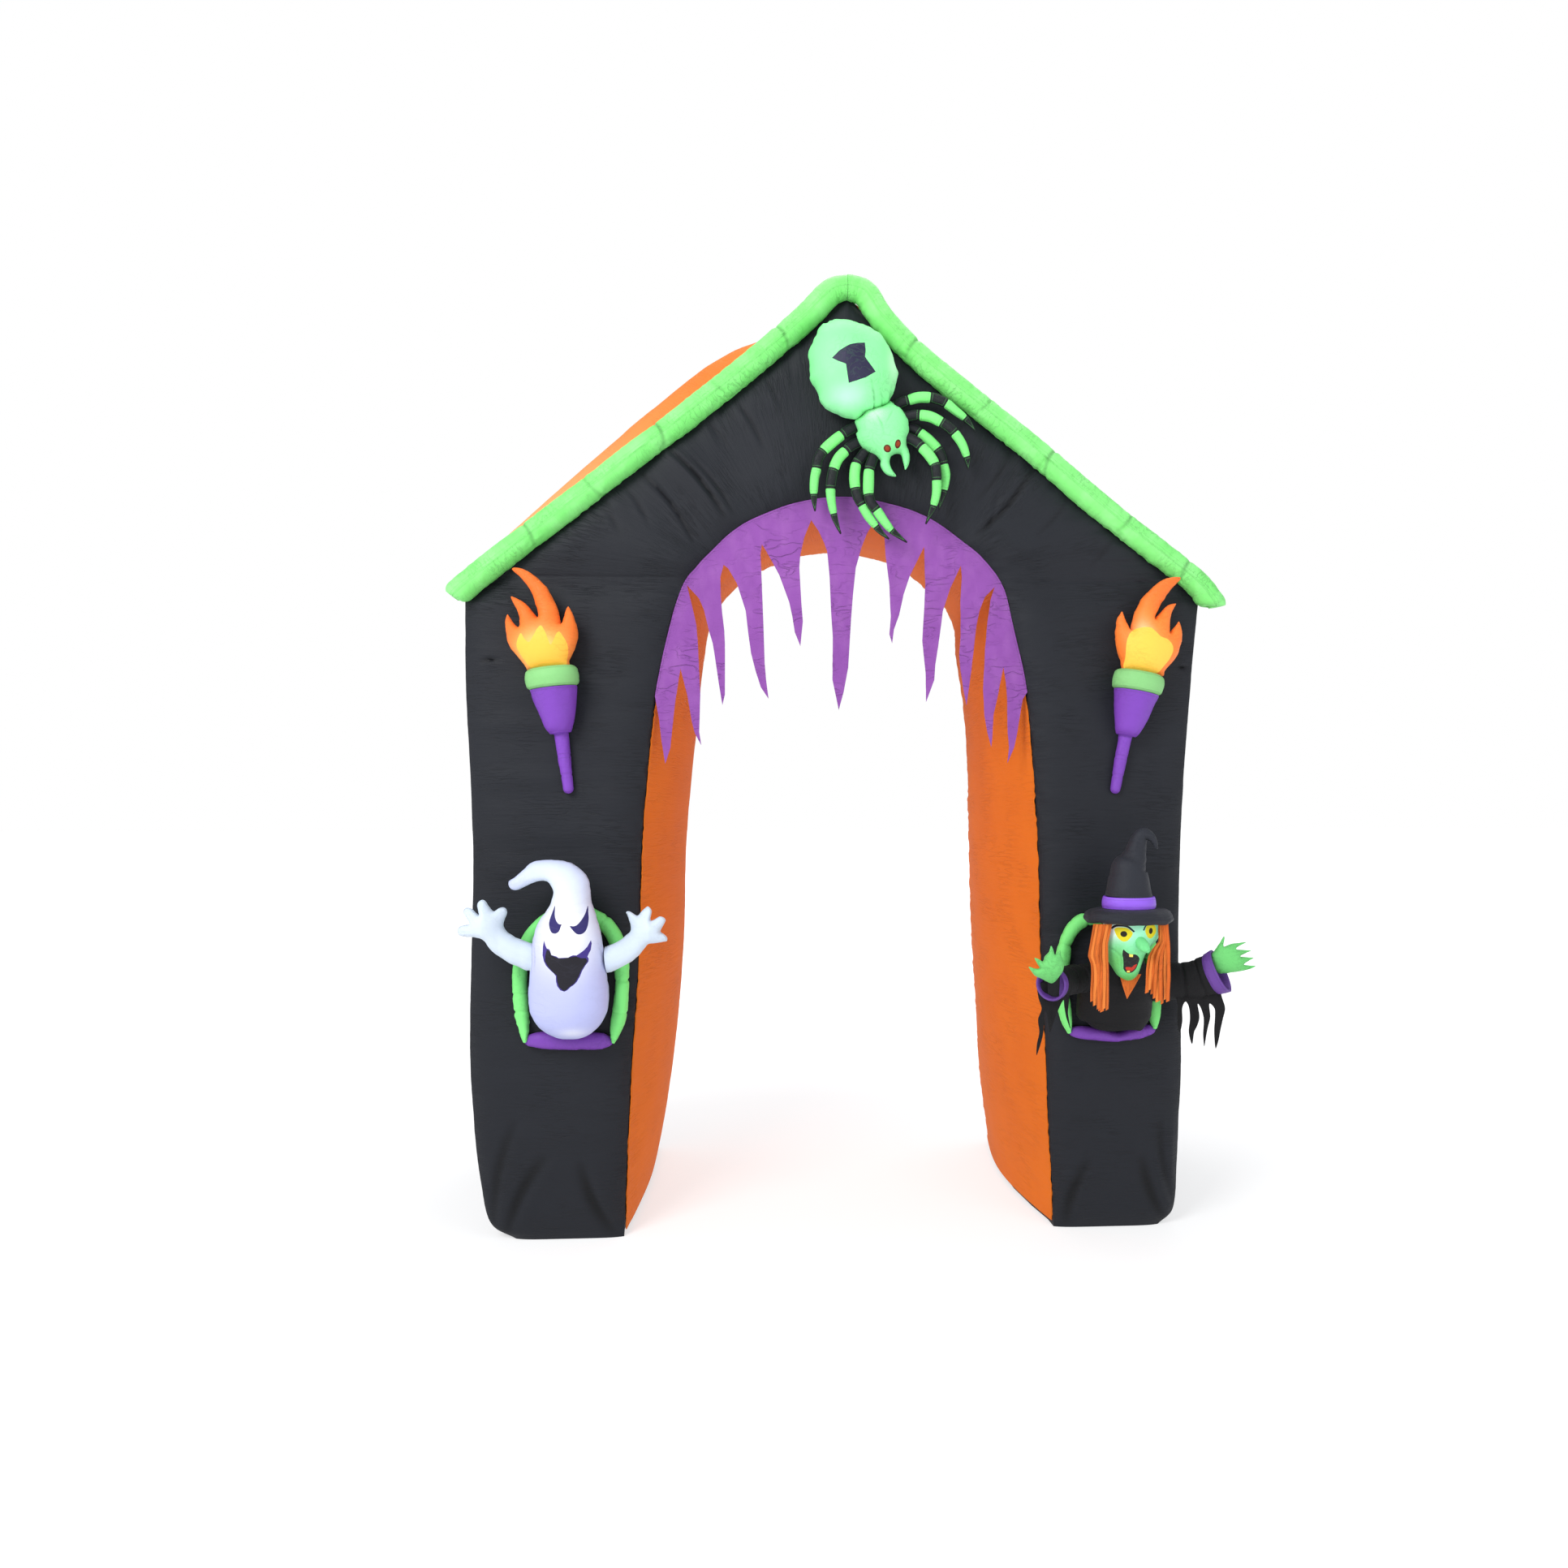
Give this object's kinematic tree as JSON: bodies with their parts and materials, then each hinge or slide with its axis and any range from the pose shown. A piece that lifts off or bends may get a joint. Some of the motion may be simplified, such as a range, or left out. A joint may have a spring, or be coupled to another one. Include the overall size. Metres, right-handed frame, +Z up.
{
  "type": "inflatable arch",
  "caption": "Walk-through inflatable gable arch with an icicle fringe, wall torches, a spider, and a ghost and a witch in windows.",
  "frame": {"origin": "on the floor, under the middle of the whole part's box", "axes": "+Z up, the decorated front facing -Y, +X to the right as seen from the front, and people walk through along Y"},
  "size_m": [2.2789, 1.1625, 2.7534],
  "materials": {
    "black_nylon": "matt black polyester",
    "orange_nylon": "orange polyester",
    "lime_nylon": "lime green polyester",
    "purple_nylon": "purple polyester",
    "violet_cloth": "violet felt-like cloth",
    "white_nylon": "white polyester, lit from inside",
    "flame_nylon": "orange and yellow polyester, lit from inside",
    "hair_cloth": "orange cloth strips"
  },
  "bodies": {
    "root": {"arch_body": "black_nylon", "opening_panel": "orange_nylon", "roof_panel_left": "orange_nylon", "roof_panel_right": "orange_nylon", "roof_trim_left": "lime_nylon", "roof_trim_right": "lime_nylon", "icicle_fringe": "violet_cloth", "torch_left_handle": "purple_nylon", "torch_left_cup": "purple_nylon", "torch_left_collar": "lime_nylon", "torch_left_flame": "flame_nylon", "torch_right_handle": "purple_nylon", "torch_right_cup": "purple_nylon", "torch_right_collar": "lime_nylon", "torch_right_flame": "flame_nylon", "spider_abdomen": "lime_nylon", "spider_head": "lime_nylon", "spider_fang_left": "lime_nylon", "spider_fang_right": "lime_nylon", "spider_leg_left_1": "lime_nylon", "spider_leg_left_2": "lime_nylon", "spider_leg_left_3": "lime_nylon", "spider_leg_left_4": "lime_nylon", "spider_leg_right_1": "lime_nylon", "spider_leg_right_2": "lime_nylon", "spider_leg_right_3": "lime_nylon", "spider_leg_right_4": "lime_nylon", "ghost_window": "lime_nylon", "ghost_sill": "purple_nylon", "ghost_body": "white_nylon", "ghost_arm_left": "white_nylon", "ghost_arm_right": "white_nylon", "witch_window": "lime_nylon", "witch_sill": "purple_nylon", "witch_robe": "black_nylon", "witch_head": "lime_nylon", "witch_nose": "lime_nylon", "witch_hat_brim": "black_nylon", "witch_hat_band": "purple_nylon", "witch_hat_crown": "black_nylon", "witch_sleeve_left": "black_nylon", "witch_cuff_left": "purple_nylon", "witch_hand_left": "lime_nylon", "witch_rags_left": "black_nylon", "witch_hair_left": "hair_cloth", "witch_sleeve_right": "black_nylon", "witch_cuff_right": "purple_nylon", "witch_hand_right": "lime_nylon", "witch_rags_right": "black_nylon", "witch_hair_right": "hair_cloth", "witch_collar": "hair_cloth"}
  },
  "joints": []
}
